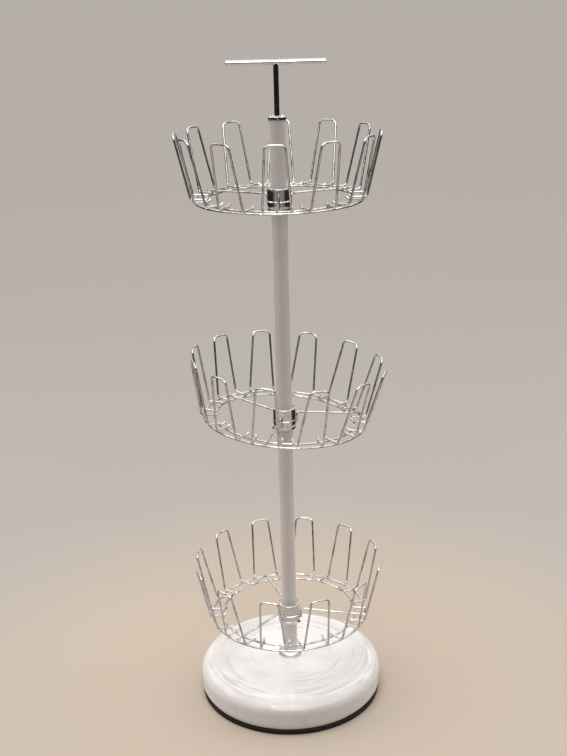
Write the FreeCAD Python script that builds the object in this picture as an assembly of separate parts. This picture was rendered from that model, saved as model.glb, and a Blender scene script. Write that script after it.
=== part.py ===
import FreeCAD, Part
import math
import os

# Rotating shoe tower. Millimetres, +Z up.
# The origin is the middle of the underside of the base, where it stands on the floor.
# Three wire tiers turn on one upright pole. +Y points to the back.

Vec = FreeCAD.Vector
UP = Vec(0, 0, 1)
CENTRE = Vec(0, 0, 0)

# --- driving dimensions ---

# pole
tube_d = 25.4               # one inch tube
tube_wall = 1.2
hub_pitch = 349.0           # from one hub to the next
lowest_rim = 157.0          # top edge of the lowest hub
pole_top = 953.6

# base
base_r = 151.5              # widest, halfway up its side
base_top = 59.5             # top of the dome, in the middle
base_corner_r = 20.0        # rounding between top and side
base_under_r = 14.7         # rounding between side and underside
base_under_z = 19.0         # where that lower rounding starts
cover_wall = 3.0
cover_foot_z = 8.0          # lower edge of the white cover
dome_rise = 3.2             # how much the top is higher in the middle
plate_r = 149.5
plate_t = 7.8
plate_skin = 2.5
weight_under = 14.0

# base fastening
bolt_d = 10.0
bolt_head_flats = 16.0
bolt_head_h = 6.4
base_washer_d = 44.0
base_washer_t = 2.4
foot_plug_h = 24.0
flange_d = 39.0
flange_h = 9.0

# hub
sleeve_d = 36.6
sleeve_wall = 1.75
sleeve_h = 28.5
groove_below_rim = 19.0
groove_depth = 0.7
groove_w = 2.0
sleeve_edge_r = 1.1         # rounding of the top edge
bush_below_rim = 3.5        # the bush ends this far down inside the sleeve
bush_h = 24.5
slip_washer_t = 1.0
collar_d = 35.6
collar_h = 5.4
collar_screw_below = 2.7    # middle of the screw, from the collar's top
collar_screw_d = 3.6
collar_screw_len = 7.5      # stands out of the collar a little
collar_socket_flats = 2.0
collar_socket_depth = 2.0
collar_screw_azimuths = [62.0, -70.0, 140.0]    # low to top, degrees from the front to the right
joiner_len = 60.0
joiner_wall = 1.7
joint_below_rim = 15.0      # where two tubes meet, hidden in the hub

# tier of wire
ring_below_rim = 16.0       # plane of the two rings
outer_ring_r = 127.5
inner_ring_r = 111.0
ring_wire_d = 3.5
spoke_wire_d = 3.5
loop_wire_d = 3.3
spokes_per_tier = 3
loops_per_tier = 12
spoke_bend_r = 5.0
spoke_rise = 5.5            # spoke at the hub, above the ring plane
spoke_leg_end = -11.0       # lower end of the spoke's leg, from the ring plane
spoke_flat_from_r = 105.0   # from here outward the spoke lies flat on both rings
spoke_end_r = 129.0
loop_leg_r = 132.0          # foot of a loop's leg, from the pole's axis
loop_foot_half = 20.5       # half the distance between a loop's two feet
loop_top_half = 14.2
loop_top_r = 153.3
loop_top_z = 98.6
loop_top_bend_r = 8.5
loop_foot_bend_r = 4.5
foot_knee_past_ring = 2.4   # the foot turns up just inside the inner ring
foot_tip_run = 3.6
foot_tip_rise = 3.2

# how each tier stands at rest: name, turn about the pole, lean to +X, sag
tiers = [
    ("low", -41.6, 0.0, 0.0),
    ("middle", -13.3, 5.0, 2.5),    # its spokes are bent a little, so it hangs askew
    ("top", -1.5, 0.0, 0.0),
]

# top end and carrying handle
cap_d = 27.6
cap_h = 6.0
cap_spigot_h = 9.0
handle_rod_d = 8.0
handle_bar_len = 145.0
handle_bar_z = 1036.3
top_plug_h = 18.0

# fits
close_gap = 0.02            # between pieces that are pressed or welded together
turning_gap = 0.05          # radial, between the bush and the pole
body_gap = 0.3              # between pieces that move past each other

# --- derived values ---

tube_r = tube_d / 2
tube_bore_r = tube_r - tube_wall
sleeve_r = sleeve_d / 2
sleeve_bore_r = sleeve_r - sleeve_wall
pole_foot = base_top + 0.1
hub_rims = [lowest_rim + i * hub_pitch for i in range(len(tiers))]
tube_ends = [pole_foot] + [rim - joint_below_rim for rim in hub_rims] + [pole_top]
foot_z = ring_wire_d / 2 + loop_wire_d / 2 + close_gap
spoke_z = ring_wire_d / 2 + spoke_wire_d / 2 + close_gap
spoke_leg_r = sleeve_r + spoke_wire_d / 2 + close_gap


# --- helpers ---

def save(name, solids):
    """Write one node: a single solid, or a group of separate solids."""
    if isinstance(solids, list):
        shape = Part.makeCompound(solids)
    else:
        shape = solids
    shape.exportStep("parts/" + name + ".step")
    print(name, round(shape.Volume, 1), shape.isValid())


def tube(outer_r, inner_r, z0, z1):
    outer = Part.makeCylinder(outer_r, z1 - z0, Vec(0, 0, z0))
    inner = Part.makeCylinder(inner_r, z1 - z0, Vec(0, 0, z0))
    return outer.cut(inner)


def turned(points):
    """A lathe shape: a closed outline in (radius, height), turned about the pole."""
    corners = [Vec(r, 0, z) for r, z in points]
    outline = Part.makePolygon(corners + [corners[0]])
    return Part.Face(outline).revolve(CENTRE, UP, 360)


def arc_through(a, mid, b):
    return Part.Arc(a, mid, b).toShape()


def turned_edges(edges):
    return Part.Face(Part.Wire(edges)).revolve(CENTRE, UP, 360)


def bent_wire(points, bend_radii, wire_d):
    """A round wire along straight runs, with a bend of the given radius at each inner point."""
    edges = []
    start = points[0]
    for i in range(1, len(points) - 1):
        here = points[i]
        back = (points[i - 1] - here).normalize()
        ahead = (points[i + 1] - here).normalize()
        half_turn = (math.pi - back.getAngle(ahead)) / 2
        setback = bend_radii[i - 1] * math.tan(half_turn)
        bend_in = here + back * setback
        bend_out = here + ahead * setback
        inward = (back + ahead).normalize()
        to_centre = bend_radii[i - 1] / math.cos(half_turn)
        bend_mid = here + inward * (to_centre - bend_radii[i - 1])
        edges.append(Part.LineSegment(start, bend_in).toShape())
        edges.append(arc_through(bend_in, bend_mid, bend_out))
        start = bend_out
    edges.append(Part.LineSegment(start, points[-1]).toShape())
    path = Part.Wire(edges)
    section = Part.Face(Part.Wire(Part.makeCircle(wire_d / 2, points[0], points[1] - points[0])))
    return path.makePipe(section)


def hexagon(across_flats, height, z0):
    corner_r = across_flats / 2 / math.cos(math.pi / 6)
    corners = []
    for i in range(7):
        angle = math.radians(60 * i)
        corners.append(Vec(corner_r * math.cos(angle), corner_r * math.sin(angle), z0))
    return Part.Face(Part.makePolygon(corners)).extrude(Vec(0, 0, height))


# --- base ---

def base_outline(inset, turn_under):
    """Edge of the base from the middle of the dome down to its foot, moved inward by inset.

    The lower rounding turns under by the angle turn_under, in radians.
    """
    dome_r = (base_r - base_corner_r) ** 2 / (2 * dome_rise) + dome_rise / 2
    dome_centre_z = base_top - dome_r
    corner_x = base_r - base_corner_r
    corner_z = dome_centre_z + math.sqrt((dome_r - base_corner_r) ** 2 - corner_x ** 2)
    top_r = dome_r - inset
    corner_r = base_corner_r - inset
    under_r = base_under_r - inset
    to_corner = Vec(corner_x, 0, corner_z - dome_centre_z).normalize()
    half_way = Vec(to_corner.x / 2, 0, 0)
    half_way.z = math.sqrt(1 - half_way.x ** 2)
    dome_centre = Vec(0, 0, dome_centre_z)
    corner_centre = Vec(corner_x, 0, corner_z)
    under_centre = Vec(base_r - base_under_r, 0, base_under_z)
    top_middle = dome_centre + UP * top_r
    dome_edge = dome_centre + to_corner * top_r
    side_top = corner_centre + Vec(corner_r, 0, 0)
    side_foot = under_centre + Vec(under_r, 0, 0)
    corner_mid = corner_centre + (to_corner + Vec(1, 0, 0)).normalize() * corner_r
    foot = under_centre + Vec(math.cos(turn_under), 0, -math.sin(turn_under)) * under_r
    under_mid = under_centre + Vec(math.cos(turn_under / 2), 0, -math.sin(turn_under / 2)) * under_r
    edges = [
        arc_through(top_middle, dome_centre + half_way * top_r, dome_edge),
        arc_through(dome_edge, corner_mid, side_top),
        Part.LineSegment(side_top, side_foot).toShape(),
        arc_through(side_foot, under_mid, foot),
    ]
    return edges, top_middle, foot


def base_cover():
    """White domed cover, hollow, with a hole for the bolt."""
    turn_under = math.asin((base_under_z - cover_foot_z) / base_under_r)
    outer, outer_top, outer_foot = base_outline(0.0, turn_under)
    inner, inner_top, inner_foot = base_outline(cover_wall, turn_under)
    rim = Part.LineSegment(outer_foot, inner_foot).toShape()
    middle = Part.LineSegment(inner_top, outer_top).toShape()
    shell = turned_edges(outer + [rim] + inner[::-1] + [middle])
    bolt_hole = Part.makeCylinder(bolt_d / 2 + 0.5, base_top, CENTRE)
    return shell.cut(bolt_hole)


def base_weight():
    """Cast filling that follows the inside of the cover."""
    inset = cover_wall + 0.1
    turn_under = math.asin((base_under_z - weight_under) / (base_under_r - inset))
    edges, top, foot = base_outline(inset, turn_under)
    floor = Part.LineSegment(foot, Vec(0, 0, weight_under)).toShape()
    axis = Part.LineSegment(Vec(0, 0, weight_under), top).toShape()
    block = turned_edges(edges + [floor, axis])
    bolt_hole = Part.makeCylinder(bolt_d / 2 + 0.5, base_top, CENTRE)
    return block.cut(bolt_hole)


def base_plate():
    """Black plate under the base, with a ring that locates it in the cover."""
    ring_r = 141.0
    ring_w = 3.0
    ring_h = 6.0
    edge = 0.8
    return turned([
        (0, 0), (plate_r - edge, 0), (plate_r, edge), (plate_r, plate_t - edge),
        (plate_r - edge, plate_t), (ring_r, plate_t), (ring_r, plate_t + ring_h),
        (ring_r - ring_w, plate_t + ring_h), (ring_r - ring_w, plate_skin), (0, plate_skin),
    ])


def base_bolt():
    washer_under = weight_under - base_washer_t
    head = hexagon(bolt_head_flats, bolt_head_h, washer_under - bolt_head_h)
    shank_top = pole_foot + foot_plug_h - 4
    shank = Part.makeCylinder(bolt_d / 2, shank_top - washer_under, Vec(0, 0, washer_under))
    return head.fuse(shank).removeSplitter()


def foot_flange():
    """Small domed collar around the foot of the pole."""
    bore_r = tube_r + close_gap
    flange_r = flange_d / 2
    z0 = pole_foot
    lip = 2.2
    dome_start = Vec(flange_r, 0, z0 + lip)
    dome_mid = Vec(flange_r - 1.4, 0, z0 + flange_h * 0.7)
    dome_end = Vec(bore_r + 1.5, 0, z0 + flange_h)
    corners = [Vec(bore_r, 0, z0 + flange_h), Vec(bore_r, 0, z0), Vec(flange_r, 0, z0)]
    edges = [
        arc_through(dome_start, dome_mid, dome_end),
        Part.LineSegment(dome_end, corners[0]).toShape(),
        Part.LineSegment(corners[0], corners[1]).toShape(),
        Part.LineSegment(corners[1], corners[2]).toShape(),
        Part.LineSegment(corners[2], dome_start).toShape(),
    ]
    return turned_edges(edges)


def make_base():
    save("base_cover", base_cover())
    save("base_weight", base_weight())
    save("base_plate", base_plate())
    save("base_bolt", base_bolt())
    washer_z = weight_under - base_washer_t
    save("base_washer", tube(base_washer_d / 2, bolt_d / 2 + 0.3, washer_z, weight_under))
    save("foot_flange", foot_flange())
    plug = tube(tube_bore_r - close_gap, bolt_d / 2 + close_gap, pole_foot, pole_foot + foot_plug_h)
    save("foot_plug", plug)


# --- pole ---

def collar_top(rim):
    return rim - sleeve_h - body_gap - slip_washer_t - close_gap


def stop_collar(rim, azimuth):
    """Narrow ring under a hub, chamfered below, with a hole for its screw."""
    bore_r = tube_r + close_gap
    collar_r = collar_d / 2
    top = collar_top(rim)
    chamfer = 0.8
    ring = turned([
        (bore_r, top), (collar_r - 0.3, top), (collar_r, top - 0.3),
        (collar_r, top - collar_h + chamfer), (collar_r - chamfer, top - collar_h),
        (bore_r, top - collar_h),
    ])
    return ring.cut(screw_body(rim, azimuth, collar_screw_d / 2 + close_gap, 20))


def screw_direction(azimuth):
    angle = math.radians(azimuth)
    return Vec(math.sin(angle), -math.cos(angle), 0)


def screw_body(rim, azimuth, radius, length):
    """A cylinder that points outward through the collar."""
    outward = screw_direction(azimuth)
    start = UP * (collar_top(rim) - collar_screw_below) + outward * (tube_r + close_gap)
    return Part.makeCylinder(radius, length, start, outward)


def collar_screw(rim, azimuth):
    """Headless screw with a hexagon socket. It bears on the pole."""
    body = screw_body(rim, azimuth, collar_screw_d / 2, collar_screw_len)
    outward = screw_direction(azimuth)
    socket_r = tube_r + close_gap + collar_screw_len - collar_socket_depth
    socket = hexagon(collar_socket_flats, collar_screw_d, 0)
    place = UP * (collar_top(rim) - collar_screw_below) + outward * socket_r
    socket.Placement = FreeCAD.Placement(place, FreeCAD.Rotation(UP, outward))
    return body.cut(socket)


def make_pole():
    names = ["pole_foot_tube", "pole_lower_tube", "pole_upper_tube", "pole_top_tube"]
    for name, z0, z1 in zip(names, tube_ends, tube_ends[1:]):
        save(name, tube(tube_r, tube_bore_r, z0, z1 - close_gap))
    screws = []
    for (tier, turn, lean, sag), rim, azimuth in zip(tiers, hub_rims, collar_screw_azimuths):
        joint = rim - joint_below_rim
        joiner_r = tube_bore_r - close_gap
        half = joiner_len / 2
        save("tube_joiner_" + tier, tube(joiner_r, joiner_r - joiner_wall, joint - half, joint + half))
        save("stop_collar_" + tier, stop_collar(rim, azimuth))
        screws.append(collar_screw(rim, azimuth))
        washer_z = rim - sleeve_h - body_gap - slip_washer_t
        washer = tube(collar_d / 2 - 0.3, tube_r + turning_gap, washer_z, washer_z + slip_washer_t)
        save("slip_washer_" + tier, washer)
    save("collar_screws", screws)


# --- top end and handle ---

def pole_cap():
    """Shallow dish on the pole's end: a raised edge, a spigot in the tube and a hole for the rod."""
    hole_r = handle_rod_d / 2 + close_gap
    spigot_r = tube_bore_r - close_gap
    z0 = pole_top + close_gap
    edge_r = cap_d / 2
    edge_w = 1.6
    dish = 1.4
    return turned([
        (hole_r, z0 - cap_spigot_h), (spigot_r, z0 - cap_spigot_h), (spigot_r, z0),
        (edge_r - 0.6, z0), (edge_r, z0 + 0.8), (edge_r, z0 + cap_h - 0.8),
        (edge_r - 0.6, z0 + cap_h), (edge_r - edge_w, z0 + cap_h),
        (edge_r - edge_w - 1.5, z0 + cap_h - dish), (hole_r, z0 + cap_h - dish),
    ])


def handle_rod(rod_foot):
    """Upright rod, its top end hollowed to sit against the crossbar."""
    rod_r = handle_rod_d / 2
    rod = Part.makeCylinder(rod_r, handle_bar_z - rod_foot, Vec(0, 0, rod_foot))
    bar_start = Vec(-handle_bar_len / 2, 0, handle_bar_z)
    bar_room = Part.makeCylinder(rod_r + close_gap, handle_bar_len, bar_start, Vec(1, 0, 0))
    return rod.cut(bar_room)


def handle_bar():
    """Crossbar with its cut ends slightly broken."""
    bar = Part.makeCylinder(
        handle_rod_d / 2, handle_bar_len, Vec(-handle_bar_len / 2, 0, handle_bar_z), Vec(1, 0, 0))
    ends = [edge for edge in bar.Edges if isinstance(edge.Curve, Part.Circle)]
    return bar.makeChamfer(0.5, ends)


def make_top():
    plug_top = pole_top - cap_spigot_h - 1
    plug_z = plug_top - top_plug_h
    save("top_plug", tube(tube_bore_r - close_gap, handle_rod_d / 2 + close_gap, plug_z, plug_top))
    save("pole_cap", pole_cap())
    save("handle_rod", handle_rod(plug_z))
    save("handle_bar", handle_bar())


# --- one tier ---

def hub_sleeve(rim):
    """Rolled metal sleeve, open at the top, with a groove and a slightly drawn-in lower edge.

    Its top edge is rounded outside.
    """
    z0 = rim - sleeve_h
    groove_z = rim - groove_below_rim
    half = groove_w / 2
    draw = 0.8
    sleeve = turned([
        (sleeve_bore_r, z0), (sleeve_r - draw, z0), (sleeve_r, z0 + draw * 2),
        (sleeve_r, groove_z - half), (sleeve_r - groove_depth, groove_z),
        (sleeve_r, groove_z + half), (sleeve_r, rim), (sleeve_bore_r + 0.5, rim),
        (sleeve_bore_r, rim - 1),
    ])
    top_edges = []
    for edge in sleeve.Edges:
        on_top = abs(edge.BoundBox.ZMin - rim) < 0.01
        if on_top and isinstance(edge.Curve, Part.Circle) and edge.Curve.Radius > sleeve_r - 0.01:
            top_edges.append(edge)
    return sleeve.makeFillet(sleeve_edge_r, top_edges)


def leaned(shape, lean, sag, plane_z):
    """Tip a shape that was made at height 0 towards +X, and lift it to the tier's ring plane."""
    copy = shape.copy()
    copy.rotate(CENTRE, Vec(0, 1, 0), lean)
    copy.translate(Vec(0, 0, plane_z - sag))
    return copy


def loop_wire():
    """One shoe loop, facing the front, at height 0: foot, leg, top, leg, foot."""
    foot_y = math.sqrt(loop_leg_r ** 2 - loop_foot_half ** 2)
    knee_y = math.sqrt(inner_ring_r ** 2 - loop_foot_half ** 2) - foot_knee_past_ring
    tip_y = knee_y - foot_tip_run
    half_path = [
        Vec(loop_foot_half, -tip_y, foot_z + foot_tip_rise),
        Vec(loop_foot_half, -knee_y, foot_z),
        Vec(loop_foot_half, -foot_y, foot_z),
        Vec(loop_top_half, -loop_top_r, loop_top_z),
    ]
    other_half = [Vec(-p.x, p.y, p.z) for p in reversed(half_path)]
    bends = [4.0, loop_foot_bend_r, loop_top_bend_r]
    return bent_wire(half_path + other_half, bends + bends[::-1], loop_wire_d)


def spoke(azimuth, lean, sag, plane_z):
    """One spoke: a leg down the sleeve, a bend, a slope, then flat on both rings."""
    out = Vec(math.sin(azimuth), -math.cos(azimuth), 0)
    tilt = FreeCAD.Rotation(Vec(0, 1, 0), lean)
    flat_start = tilt.multVec(out * spoke_flat_from_r + UP * spoke_z) - UP * sag
    flat_end = tilt.multVec(out * spoke_end_r + UP * spoke_z) - UP * sag
    points = [
        out * spoke_leg_r + UP * spoke_leg_end,
        out * spoke_leg_r + UP * spoke_rise,
        flat_start,
        flat_end,
    ]
    wire = bent_wire(points, [spoke_bend_r, 40.0], spoke_wire_d)
    wire.translate(UP * plane_z)
    return wire


def make_tier(name, turn, lean, sag, rim):
    plane_z = rim - ring_below_rim
    save("hub_sleeve_" + name, hub_sleeve(rim))
    bush_top = rim - bush_below_rim
    bush = tube(sleeve_bore_r - close_gap, tube_r + turning_gap, bush_top - bush_h, bush_top)
    save("hub_bush_" + name, bush)
    for ring_name, ring_r in (("outer_ring_", outer_ring_r), ("inner_ring_", inner_ring_r)):
        ring = Part.makeTorus(ring_r, ring_wire_d / 2)
        save(ring_name + name, leaned(ring, lean, sag, plane_z))
    spokes = []
    for i in range(spokes_per_tier):
        azimuth = math.radians(turn + i * 360 / spokes_per_tier)
        spokes.append(spoke(azimuth, lean, sag, plane_z))
    save("spokes_" + name, spokes)
    wire = loop_wire()
    loops = []
    for i in range(loops_per_tier):
        loop = wire.copy()
        loop.rotate(CENTRE, UP, turn + i * 360 / loops_per_tier)
        loops.append(leaned(loop, lean, sag, plane_z))
    for pair in range(loops_per_tier // 2):
        save("loop_pair_" + name + "_" + str(pair + 1), loops[2 * pair:2 * pair + 2])


def main():
    os.makedirs("parts", exist_ok=True)
    make_base()
    make_pole()
    make_top()
    for (name, turn, lean, sag), rim in zip(tiers, hub_rims):
        make_tier(name, turn, lean, sag, rim)


main()
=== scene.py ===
import math

import bmesh
import bpy
from mathutils import Matrix, Vector


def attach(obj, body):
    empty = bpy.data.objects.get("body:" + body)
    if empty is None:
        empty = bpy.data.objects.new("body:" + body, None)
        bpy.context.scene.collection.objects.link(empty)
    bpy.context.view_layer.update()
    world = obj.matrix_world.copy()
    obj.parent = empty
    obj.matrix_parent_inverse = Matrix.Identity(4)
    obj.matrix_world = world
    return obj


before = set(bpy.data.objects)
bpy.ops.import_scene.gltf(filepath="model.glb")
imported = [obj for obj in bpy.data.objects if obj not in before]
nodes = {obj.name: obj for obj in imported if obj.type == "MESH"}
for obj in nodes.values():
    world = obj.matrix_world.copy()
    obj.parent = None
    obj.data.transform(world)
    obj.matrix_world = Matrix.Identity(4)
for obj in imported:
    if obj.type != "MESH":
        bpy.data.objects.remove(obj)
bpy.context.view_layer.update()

tierNames = ["low", "middle", "top"]


# camera

cameraView = {
    "place": (0.0, -1.7578, 1.1511),
    "pitch": 18.747,    # degrees down
    "roll": 1.42,       # degrees, the scene seems turned counter-clockwise
    "lens": 56.14,      # on a film 36 mm tall
    "film": 36.0,
    "near": 0.05,
    "far": 100.0,
}


def setCamera(v):
    pitch = math.radians(v["pitch"])
    roll = math.radians(v["roll"])
    ahead = Vector((0, math.cos(pitch), -math.sin(pitch)))
    above = Vector((0, math.sin(pitch), math.cos(pitch)))
    right = Vector((1, 0, 0))
    camX = right * math.cos(roll) - above * math.sin(roll)
    camY = right * math.sin(roll) + above * math.cos(roll)
    data = bpy.data.cameras.new("camera")
    data.sensor_fit = "AUTO"
    data.sensor_width = v["film"]
    data.lens = v["lens"]
    data.clip_start = v["near"]
    data.clip_end = v["far"]
    cam = bpy.data.objects.new("camera", data)
    bpy.context.scene.collection.objects.link(cam)
    turn = Matrix((camX, camY, -ahead)).transposed().to_4x4()
    cam.matrix_world = Matrix.Translation(v["place"]) @ turn
    bpy.context.scene.camera = cam


setCamera(cameraView)
print("camera set")


# small helpers for node materials

def startMaterial(name):
    mat = bpy.data.materials.new(name)
    mat.use_nodes = True
    tree = mat.node_tree
    shader = tree.nodes["Principled BSDF"]
    place = tree.nodes.new("ShaderNodeTexCoord").outputs["Object"]
    return mat, tree, shader, place


def stretched(tree, place, scale, turn=0):
    mapping = tree.nodes.new("ShaderNodeMapping")
    mapping.inputs["Rotation"].default_value = (0, 0, math.radians(turn))
    mapping.inputs["Scale"].default_value = scale
    tree.links.new(place, mapping.inputs["Vector"])
    return mapping.outputs["Vector"]


def noise(tree, place, scale, detail=3.0, rough=0.55):
    node = tree.nodes.new("ShaderNodeTexNoise")
    node.inputs["Scale"].default_value = scale
    node.inputs["Detail"].default_value = detail
    node.inputs["Roughness"].default_value = rough
    tree.links.new(place, node.inputs["Vector"])
    return node.outputs["Fac"]


def ramp(tree, source, low, high, toLow=0.0, toHigh=1.0):
    node = tree.nodes.new("ShaderNodeMapRange")
    node.interpolation_type = "SMOOTHSTEP"
    node.inputs["From Min"].default_value = low
    node.inputs["From Max"].default_value = high
    node.inputs["To Min"].default_value = toLow
    node.inputs["To Max"].default_value = toHigh
    tree.links.new(source, node.inputs["Value"])
    return node.outputs["Result"]


def calc(tree, operation, *values, clamp=False):
    node = tree.nodes.new("ShaderNodeMath")
    node.operation = operation
    node.use_clamp = clamp
    for socket, value in zip(node.inputs, values):
        if isinstance(value, (int, float)):
            socket.default_value = value
        else:
            tree.links.new(value, socket)
    return node.outputs[0]


def times(tree, a, b):
    return calc(tree, "MULTIPLY", a, b)


def blendColor(tree, amount, a, b):
    node = tree.nodes.new("ShaderNodeMix")
    node.data_type = "RGBA"
    tree.links.new(amount, node.inputs[0])
    for socket, value in ((node.inputs[6], a), (node.inputs[7], b)):
        if isinstance(value, tuple):
            socket.default_value = (*value, 1)
        else:
            tree.links.new(value, socket)
    return node.outputs[2]


def bump(tree, shader, height, strength, distance):
    node = tree.nodes.new("ShaderNodeBump")
    node.inputs["Strength"].default_value = strength
    node.inputs["Distance"].default_value = distance
    tree.links.new(height, node.inputs["Height"])
    tree.links.new(node.outputs["Normal"], shader.inputs["Normal"])


def coordinates(tree, place):
    split = tree.nodes.new("ShaderNodeSeparateXYZ")
    tree.links.new(place, split.inputs[0])
    return split.outputs


def fromAxis(tree, place):    # distance from the pole's axis, then x and y divided by it
    x, y = coordinates(tree, place)[:2]
    r = calc(tree, "SQRT", calc(tree, "ADD", times(tree, x, x), times(tree, y, y)))
    return r, calc(tree, "DIVIDE", x, r), calc(tree, "DIVIDE", y, r)


# finishes

chromeMarks = {    # noise values from no mark to a full one, alike on all the chrome
    "dullAndPaintedDark": (0.45, 0.72),
    "speck": (0.66, 0.74),
    "wipe": (0.3, 0.8),
    "wipeStretch": (1, 1, 6),    # wiped round the pole
    "waveDepth": 0.0006,
}


def chromeFinish(name, s):
    mat, tree, shader, place = startMaterial(name)
    shader.inputs["Metallic"].default_value = 1.0
    # patches of darker chrome: partly dull wear, partly painted dark reflection that breaks up
    # the highlights
    dullAndPaintedDark = ramp(tree, noise(tree, place, s["cloudScale"], 4), *chromeMarks["dullAndPaintedDark"])
    color = blendColor(tree, dullAndPaintedDark, s["bright"], s["dullAndPaintedDark"])
    specks = ramp(tree, noise(tree, place, s["speckScale"], 2), *chromeMarks["speck"])
    color = blendColor(tree, specks, color, s["speck"])
    tree.links.new(color, shader.inputs["Base Color"])
    wiped = noise(tree, stretched(tree, place, chromeMarks["wipeStretch"]), s["wipeScale"], 3)
    rough = ramp(tree, wiped, *chromeMarks["wipe"], s["smooth"], s["rough"])
    tree.links.new(rough, shader.inputs["Roughness"])
    waves = noise(tree, place, s["waveScale"], 2)
    bump(tree, shader, waves, s["waveStrength"], chromeMarks["waveDepth"])
    return mat


polishedChrome = chromeFinish("polishedChrome", {
    "bright": (0.66, 0.64, 0.63),
    "dullAndPaintedDark": (0.52, 0.5, 0.48),
    "speck": (0.3, 0.27, 0.24),
    "cloudScale": 60,
    "speckScale": 900,
    "wipeScale": 160,
    "waveScale": 130,
    "waveStrength": 0.16,
    "smooth": 0.04,
    "rough": 0.14,
})

satinChrome = chromeFinish("satinChrome", {
    "bright": (0.68, 0.655, 0.64),
    "dullAndPaintedDark": (0.58, 0.555, 0.54),
    "speck": (0.45, 0.42, 0.39),
    "cloudScale": 90,
    "speckScale": 900,
    "wipeScale": 160,
    "waveScale": 220,
    "waveStrength": 0.1,
    "smooth": 0.4,
    "rough": 0.55,
})

chromeWire = chromeFinish("chromeWire", {
    "bright": (0.62, 0.595, 0.58),
    # dark enough on the wires to stand as painted dark reflections
    "dullAndPaintedDark": (0.3, 0.275, 0.255),
    "speck": (0.2, 0.17, 0.15),
    "cloudScale": 75,
    "speckScale": 700,
    "wipeScale": 120,
    "waveScale": 110,
    "waveStrength": 0.3,
    "smooth": 0.05,
    "rough": 0.18,
})


def enamelFinish():
    s = {
        "clean": (0.8, 0.757, 0.725),
        "hazy": (0.74, 0.702, 0.673),
        "scratch": (0.67, 0.635, 0.605),
        "smooth": 0.2,
        "rough": 0.36,
        "dust": 0.6,                     # a thin film of it brightens the pole's edges
        "dustRough": 0.4,
        "hazeStretch": (1, 1, 0.3),      # haze and scratches run up the pole
        "hazeScale": 18,
        "hazeMarks": (0.35, 0.75),
        "scratchStretch": (1, 1, 0.05),
        "scratchScale": 420,
        "scratchMarks": (0.68, 0.8),
        "scratchAmount": 0.5,
        "grainScale": 700,
        "grainStrength": 0.06,
        "grainDepth": 0.0004,
    }
    mat, tree, shader, place = startMaterial("poleEnamel")
    shader.inputs["Sheen Weight"].default_value = s["dust"]
    shader.inputs["Sheen Roughness"].default_value = s["dustRough"]
    cloudy = noise(tree, stretched(tree, place, s["hazeStretch"]), s["hazeScale"], 4)
    haze = ramp(tree, cloudy, *s["hazeMarks"])
    color = blendColor(tree, haze, s["clean"], s["hazy"])
    lines = noise(tree, stretched(tree, place, s["scratchStretch"]), s["scratchScale"], 2)
    scratches = ramp(tree, lines, *s["scratchMarks"], 0, s["scratchAmount"])
    color = blendColor(tree, scratches, color, s["scratch"])
    tree.links.new(color, shader.inputs["Base Color"])
    tree.links.new(ramp(tree, haze, 0, 1, s["smooth"], s["rough"]), shader.inputs["Roughness"])
    grain = noise(tree, place, s["grainScale"], 2)
    bump(tree, shader, grain, s["grainStrength"], s["grainDepth"])
    return mat


poleEnamel = enamelFinish()


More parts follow.
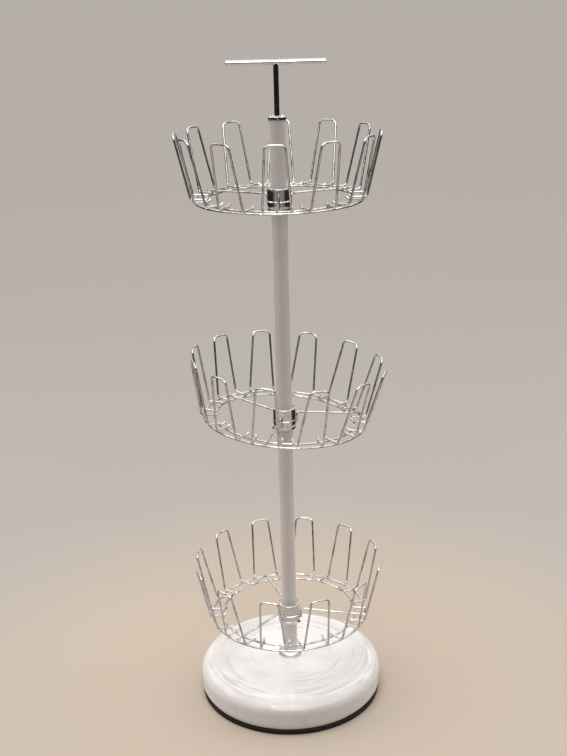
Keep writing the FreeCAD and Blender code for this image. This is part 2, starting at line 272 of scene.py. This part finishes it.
def shellFinish():
    s = {
        "clean": (0.868, 0.84, 0.833),
        "dusty": (0.8, 0.77, 0.76),
        # grey of the straight scratches and of the painted reflections of the rings
        "scuffAndReflectionGrey": (0.5, 0.485, 0.475),
        "smooth": 0.07,
        "rough": 0.3,
        "dustScale": 26,
        "dustMarks": (0.46, 0.72),
        "dustWear": 0.3,                 # how much dust dulls the gloss, against a painted reflection arc's 1
        "paintedReflectionsStart": (0.045, 0.075),   # painted reflections of the rings run round the pole as grey arcs and fade in and out here
        "paintedReflectionsStop": (0.149, 0.14),
        "patchScale": 14,                # and show in patches
        "patchMarks": (0.36, 0.56),
        "arcs": (    # painted reflection arcs: fineness across and along, marks from and to, strength
            (190, 1.1, 0.5, 0.7, 0.6),
            (330, 1.9, 0.53, 0.72, 0.5),
            (80, 0.9, 0.46, 0.72, 0.24),
        ),
        "scratchTurns": (25, 68, 118, 160),    # straight scratches, each way that they run
        "scratchStretch": (16, 330, 5),
        "scratchMarks": (0.69, 0.8),
        "scratchAmount": 0.22,
        "grainScale": 260,
        "grainStrength": 0.03,
        "grainDepth": 0.0005,
    }
    mat, tree, shader, place = startMaterial("whiteShell")
    r, sideways, backwards = fromAxis(tree, place)
    dust = ramp(tree, noise(tree, place, s["dustScale"], 6, 0.65), *s["dustMarks"])
    color = blendColor(tree, dust, s["clean"], s["dusty"])
    band = times(tree, ramp(tree, r, *s["paintedReflectionsStart"]), ramp(tree, r, *s["paintedReflectionsStop"]))
    patches = ramp(tree, noise(tree, place, s["patchScale"], 3), *s["patchMarks"])
    glossDulling = times(tree, dust, s["dustWear"])
    # grey arcs round the pole are painted reflections of the rings; they also dull the gloss
    for across, along, low, high, amount in s["arcs"]:
        path = tree.nodes.new("ShaderNodeCombineXYZ")    # has no seam on its way round the pole
        tree.links.new(times(tree, r, across), path.inputs[0])
        tree.links.new(times(tree, sideways, along), path.inputs[1])
        tree.links.new(times(tree, backwards, along), path.inputs[2])
        arcs = ramp(tree, noise(tree, path.outputs[0], 1.0, 3, 0.6), low, high, 0, amount)
        paintedReflections = times(tree, times(tree, arcs, band), patches)
        color = blendColor(tree, paintedReflections, color, s["scuffAndReflectionGrey"])
        glossDulling = calc(tree, "ADD", glossDulling, paintedReflections)
    for turn in s["scratchTurns"]:
        lines = noise(tree, stretched(tree, place, s["scratchStretch"], turn), 1.0, 2)
        scratches = ramp(tree, lines, *s["scratchMarks"], 0, s["scratchAmount"])
        color = blendColor(tree, scratches, color, s["scuffAndReflectionGrey"])
    tree.links.new(color, shader.inputs["Base Color"])
    tree.links.new(ramp(tree, glossDulling, 0, 1, s["smooth"], s["rough"]), shader.inputs["Roughness"])
    grain = noise(tree, place, s["grainScale"], 2)
    bump(tree, shader, grain, s["grainStrength"], s["grainDepth"])
    return mat


whiteShell = shellFinish()


plainMarks = {"mottle": (0.35, 0.7), "grainDepth": 0.0004}


def plainFinish(name, s):
    mat, tree, shader, place = startMaterial(name)
    shader.inputs["Metallic"].default_value = s["metal"]
    mottle = ramp(tree, noise(tree, place, s["scale"], 4), *plainMarks["mottle"])
    tree.links.new(blendColor(tree, mottle, s["main"], s["other"]), shader.inputs["Base Color"])
    tree.links.new(ramp(tree, mottle, 0, 1, s["smooth"], s["rough"]), shader.inputs["Roughness"])
    shader.inputs["Specular IOR Level"].default_value = s["shine"]
    grain = noise(tree, place, s["grain"], 3)
    bump(tree, shader, grain, s["grainStrength"], plainMarks["grainDepth"])
    return mat


blackPlate = plainFinish("blackPlate", {
    "main": (0.01, 0.0075, 0.007), "other": (0.015, 0.0115, 0.01), "metal": 0.0, "shine": 0.2,
    "scale": 45, "smooth": 0.5, "rough": 0.68, "grain": 900, "grainStrength": 0.25,
})
whiteNylon = plainFinish("whiteNylon", {
    "main": (0.78, 0.77, 0.74), "other": (0.66, 0.64, 0.6), "metal": 0.0, "shine": 0.5,
    "scale": 120, "smooth": 0.35, "rough": 0.5, "grain": 1200, "grainStrength": 0.1,
})
zincSteel = plainFinish("zincSteel", {
    "main": (0.56, 0.56, 0.55), "other": (0.42, 0.41, 0.4), "metal": 1.0, "shine": 0.5,
    "scale": 150, "smooth": 0.28, "rough": 0.45, "grain": 800, "grainStrength": 0.12,
})
darkScrew = plainFinish("darkScrew", {
    "main": (0.05, 0.048, 0.046), "other": (0.09, 0.08, 0.075), "metal": 1.0, "shine": 0.5,
    "scale": 400, "smooth": 0.32, "rough": 0.5, "grain": 2000, "grainStrength": 0.15,
})
castWeight = plainFinish("castWeight", {
    "main": (0.42, 0.41, 0.39), "other": (0.3, 0.29, 0.275), "metal": 0.0, "shine": 0.5,
    "scale": 60, "smooth": 0.75, "rough": 0.95, "grain": 300, "grainStrength": 0.6,
})
print("finishes made")


# which finish each CAD node takes

finishOf = {
    "base_cover": whiteShell,
    "base_weight": castWeight,
    "base_plate": blackPlate,
    "base_bolt": zincSteel,
    "base_washer": zincSteel,
    "foot_flange": satinChrome,
    "foot_plug": zincSteel,
    "pole_foot_tube": poleEnamel,
    "pole_lower_tube": poleEnamel,
    "pole_upper_tube": poleEnamel,
    "pole_top_tube": poleEnamel,
    "collar_screws": darkScrew,
    "top_plug": zincSteel,
    "pole_cap": polishedChrome,
    "handle_rod": polishedChrome,
    "handle_bar": polishedChrome,
}
for tier in tierNames:
    finishOf["tube_joiner_" + tier] = zincSteel
    finishOf["stop_collar_" + tier] = polishedChrome
    finishOf["slip_washer_" + tier] = whiteNylon
    finishOf["hub_sleeve_" + tier] = polishedChrome
    finishOf["hub_bush_" + tier] = whiteNylon
    finishOf["outer_ring_" + tier] = chromeWire
    finishOf["inner_ring_" + tier] = chromeWire
    finishOf["spokes_" + tier] = chromeWire
    for pair in range(1, 7):
        finishOf["loop_pair_" + tier + "_" + str(pair)] = chromeWire

for nodeName, finish in finishOf.items():
    for slot in nodes[nodeName].material_slots:
        slot.material = finish
print("finishes given to the CAD nodes")


# weld beads, which join the wires and the handle

wireTiers = {    # rest position: turn and lean in degrees, height of the ring plane
    "low": {"turn": -41.6, "lean": 0.0, "plane": 0.141},
    "middle": {"turn": -13.3, "lean": 5.0, "plane": 0.4875},
    "top": {"turn": -1.5, "lean": 0.0, "plane": 0.839},
}
weldBeads = {
    "rings": (0.1275, 0.111),    # radii of a tier's two rings
    "contact": 0.00176,          # top of a ring, where feet and spokes lie on it
    "footSide": 0.0205,          # a loop's foot from the loop's middle
    "loops": 12,
    "spokes": 3,
    "spot": (0.0024, 0.0024, 0.0011),
    "seamTurn": 15.0,            # where the ends of a ring meet
    "seam": (0.0012, 0.00205, 0.00205),
    "sleeve": 0.0184,            # radius at which the spokes' legs lie on the hub
    "legHeights": (-0.0095, -0.004, 0.0015),
    "leg": (0.0021, 0.001, 0.0026),
}
beadFaces = {"sides": 8, "layers": 6}


def addBead(bm, place, size):
    shape = place @ Matrix.Diagonal((*size, 1))
    bmesh.ops.create_uvsphere(
        bm, u_segments=beadFaces["sides"], v_segments=beadFaces["layers"], radius=1, matrix=shape)


def addPiece(name, bm, finish, body):
    bmesh.ops.recalc_face_normals(bm, faces=bm.faces)
    for face in bm.faces:
        face.smooth = True
    mesh = bpy.data.meshes.new(name)
    bm.to_mesh(mesh)
    bm.free()
    mesh.materials.append(finish)
    piece = bpy.data.objects.new(name, mesh)
    bpy.context.scene.collection.objects.link(piece)
    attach(piece, body)


def aboutPole(degrees):    # 0 faces the front, and it grows towards the right
    return Matrix.Rotation(math.radians(degrees), 4, "Z")


def makeTierWelds(tier, t, s):
    bm = bmesh.new()
    level = Matrix.Translation((0, 0, t["plane"]))
    hang = level @ Matrix.Rotation(math.radians(t["lean"]), 4, "Y")
    loopTurns = [aboutPole(t["turn"] + i * 360 / s["loops"]) for i in range(s["loops"])]
    spokeTurns = [aboutPole(t["turn"] + i * 360 / s["spokes"]) for i in range(s["spokes"])]
    for radius in s["rings"]:
        footReach = math.sqrt(radius ** 2 - s["footSide"] ** 2)
        for turn in loopTurns:
            for side in (-s["footSide"], s["footSide"]):
                foot = Matrix.Translation((side, -footReach, s["contact"]))
                addBead(bm, hang @ turn @ foot, s["spot"])
        for turn in spokeTurns:
            addBead(bm, hang @ turn @ Matrix.Translation((0, -radius, s["contact"])), s["spot"])
        seam = aboutPole(t["turn"] + s["seamTurn"]) @ Matrix.Translation((0, -radius, 0))
        addBead(bm, hang @ seam, s["seam"])
    for turn in spokeTurns:
        for height in s["legHeights"]:
            addBead(bm, level @ turn @ Matrix.Translation((0, -s["sleeve"], height)), s["leg"])
    addPiece("weld_beads_" + tier, bm, chromeWire, "tier_" + tier)


for tier, t in wireTiers.items():
    makeTierWelds(tier, t, weldBeads)

handleWeld = {
    "barHeight": 1.0363,
    "rodRadius": 0.004,
    "beads": 14,
    "bead": (0.00105, 0.00105, 0.00105),
    "outset": 1.04,       # the beads' circle against the rod's
    "sunk": 0.0003,
}


def makeHandleWeld(s):
    bm = bmesh.new()
    for i in range(s["beads"]):
        angle = 2 * math.pi * i / s["beads"]
        x = s["rodRadius"] * math.cos(angle)
        y = s["rodRadius"] * math.sin(angle)
        z = s["barHeight"] - abs(x)    # the seam of two crossing rods of one size
        seam = (x * s["outset"], y * s["outset"], z - s["sunk"])
        addBead(bm, Matrix.Translation(seam), s["bead"])
    addPiece("handle_weld", bm, polishedChrome, "stand")


makeHandleWeld(handleWeld)
print("welds made")


# floor and light

studioFloor = {
    "near": (0.525, 0.449, 0.373),           # as it is seen
    "far": (0.428, 0.406, 0.384),
    "nearToFar": (0.3, 0.9),                 # distances from the pole
    "mirroredNear": (0.5, 0.472, 0.448),     # as metal reflects it, from the tower to the viewer
    "mirroredMiddle": (0.27, 0.255, 0.24),
    "mirroredFar": (0.008, 0.007, 0.006),
    "mirroredSides": (0.03, 0.024, 0.02),
    "nearToMiddle": (1.1, 3.8),
    "middleToFar": (5.5, 8),
    "nearToAround": (0.6, 1.3),      # from here on it differs with the bearing
    "wide": (-0.05, -0.45),          # bearings, from -1 in front of the tower to 1 behind it
    "narrow": (-0.45, -0.85),
    "narrowing": (1.8, 3.5),         # distances over which the lit floor in front narrows
    "behind": (0.72, 0.9),
    "rough": 0.8,
    "shine": 0.0,
    "size": 400.0,
}


def makeFloor(s):
    mat, tree, shader, place = startMaterial("studioFloor")
    r, _, bearing = fromAxis(tree, place)
    seen = blendColor(tree, ramp(tree, r, *s["nearToFar"]), s["near"], s["far"])
    ahead = ramp(tree, r, *s["nearToMiddle"])
    ahead = blendColor(tree, ahead, s["mirroredNear"], s["mirroredMiddle"])
    ahead = blendColor(tree, ramp(tree, r, *s["middleToFar"]), ahead, s["mirroredFar"])
    wide = times(tree, ramp(tree, bearing, *s["wide"]), ramp(tree, r, *s["narrowing"][::-1]))
    narrow = times(tree, ramp(tree, bearing, *s["narrow"]), ramp(tree, r, *s["narrowing"]))
    around = blendColor(tree, calc(tree, "ADD", wide, narrow), s["mirroredSides"], ahead)
    around = blendColor(tree, ramp(tree, bearing, *s["behind"]), around, s["far"])
    rays = tree.nodes.new("ShaderNodeLightPath").outputs
    near = blendColor(tree, rays["Is Glossy Ray"], seen, s["mirroredNear"])
    mirrored = blendColor(tree, ramp(tree, r, *s["nearToAround"]), near, around)
    color = blendColor(tree, rays["Is Camera Ray"], mirrored, seen)
    tree.links.new(color, shader.inputs["Base Color"])
    shader.inputs["Roughness"].default_value = s["rough"]
    shader.inputs["Specular IOR Level"].default_value = s["shine"]
    bm = bmesh.new()
    bmesh.ops.create_grid(bm, x_segments=2, y_segments=2, size=s["size"] / 2)
    mesh = bpy.data.meshes.new("floor")
    bm.to_mesh(mesh)
    bm.free()
    mesh.materials.append(mat)
    floor = bpy.data.objects.new("floor", mesh)
    bpy.context.scene.collection.objects.link(floor)


studioRoom = {    # the ramps run over a direction's x, y and z, each from -1 to 1
    "backdrop": (0.5, 0.455, 0.413),
    "ambientInFront": (0.075, 0.072, 0.07),
    "ambientBehind": (0.9, 0.853, 0.816),    # light that a pale wall would send back
    "frontToBehind": (-0.35, 0.3),
    "ceiling": (0.3, 0.29, 0.285),           # from here on, what metal reflects
    "ceilingLit": (3.0, 2.95, 2.92),
    "litScale": 4.5,
    "litMarks": (0.44, 0.6),
    "glow": (4.2, 4.13, 4.06),               # round the lamps in front
    "glowAhead": (-0.3, -0.5),
    "glowAcross": (0.42, 0.3),
    "ceilingFrom": (0.14, 0.42),
    "behind": (0.62, 0.58, 0.545),
    "sidesToBehind": (0.88, 0.7),
    "sides": (0.03, 0.024, 0.02),
    "inFront": (0.07, 0.06, 0.055),
    "sidesToFront": (-0.6, -0.85),
    "streakStretch": (7, 2, 1),
    "streakMarks": (0.35, 0.6),
}


def makeRoom(s):
    world = bpy.data.worlds.new("studio")
    bpy.context.scene.world = world
    world.use_nodes = True
    tree = world.node_tree
    back = tree.nodes["Background"]
    place = tree.nodes.new("ShaderNodeTexCoord").outputs["Generated"]
    x, y, z = coordinates(tree, place)
    streaks = noise(tree, stretched(tree, place, s["streakStretch"]), 1.0, 2)
    streaks = ramp(tree, streaks, *s["streakMarks"])
    facing = times(tree, ramp(tree, y, *s["sidesToFront"]), streaks)
    ahead = blendColor(tree, facing, s["sides"], s["inFront"])
    around = blendColor(tree, ramp(tree, y, *s["sidesToBehind"]), s["behind"], ahead)
    lit = ramp(tree, noise(tree, place, s["litScale"], 2), *s["litMarks"])
    ceiling = blendColor(tree, lit, s["ceiling"], s["ceilingLit"])
    across = ramp(tree, calc(tree, "ABSOLUTE", x), *s["glowAcross"])
    glow = times(tree, ramp(tree, y, *s["glowAhead"]), across)
    ceiling = blendColor(tree, glow, ceiling, s["glow"])
    room = blendColor(tree, ramp(tree, z, *s["ceilingFrom"]), around, ceiling)
    ambient = ramp(tree, y, *s["frontToBehind"])
    ambient = blendColor(tree, ambient, s["ambientInFront"], s["ambientBehind"])
    rays = tree.nodes.new("ShaderNodeLightPath").outputs
    shiny = calc(tree, "ADD", rays["Is Glossy Ray"], rays["Is Transmission Ray"], clamp=True)
    light = blendColor(tree, shiny, ambient, room)
    color = blendColor(tree, rays["Is Camera Ray"], light, s["backdrop"])
    tree.links.new(color, back.inputs["Color"])


skylight = {
    "power": 1.85, "color": (1, 0.985, 0.975), "angle": 38,
    "place": (-0.25, -0.3, 3), "at": (0, 0, 0), "mirrored": False,
}
ceilingPanel = {
    "power": 2.8, "color": (1, 0.99, 0.98), "size": 0.12,
    "places": ((-1.05, -2.1, 2.5), (0, -2.1, 2.5), (1.05, -2.1, 2.5)),
    "at": (0, 0, 0), "mirrored": True,
}
sideLight = {
    "power": 9.5, "color": (1, 0.98, 0.965), "size": 1.2,
    "places": ((-2.2, 0.2, 1.7), (2.2, 0.2, 1.7)),
    "at": (0, 0, 0.4), "mirrored": False,
}


def addLamp(name, kind, place, s):
    data = bpy.data.lights.new(name, kind)
    data.energy = s["power"]
    data.color = s["color"]
    if kind == "SUN":
        data.angle = math.radians(s["angle"])
    else:
        data.size = s["size"]
    lamp = bpy.data.objects.new(name, data)
    bpy.context.scene.collection.objects.link(lamp)
    lamp.location = place
    towards = Vector(s["at"]) - Vector(place)
    lamp.rotation_mode = "QUATERNION"
    lamp.rotation_quaternion = towards.to_track_quat("-Z", "Y")
    lamp.visible_glossy = s["mirrored"]


makeFloor(studioFloor)
makeRoom(studioRoom)
addLamp("skylight", "SUN", skylight["place"], skylight)
for i, place in enumerate(ceilingPanel["places"]):
    addLamp("ceilingPanel" + str(i + 1), "AREA", place, ceilingPanel)
for side, place in zip(("Left", "Right"), sideLight["places"]):
    addLamp("sideLight" + side, "AREA", place, sideLight)
bpy.context.scene.view_settings.view_transform = "Standard"
print("studio set")
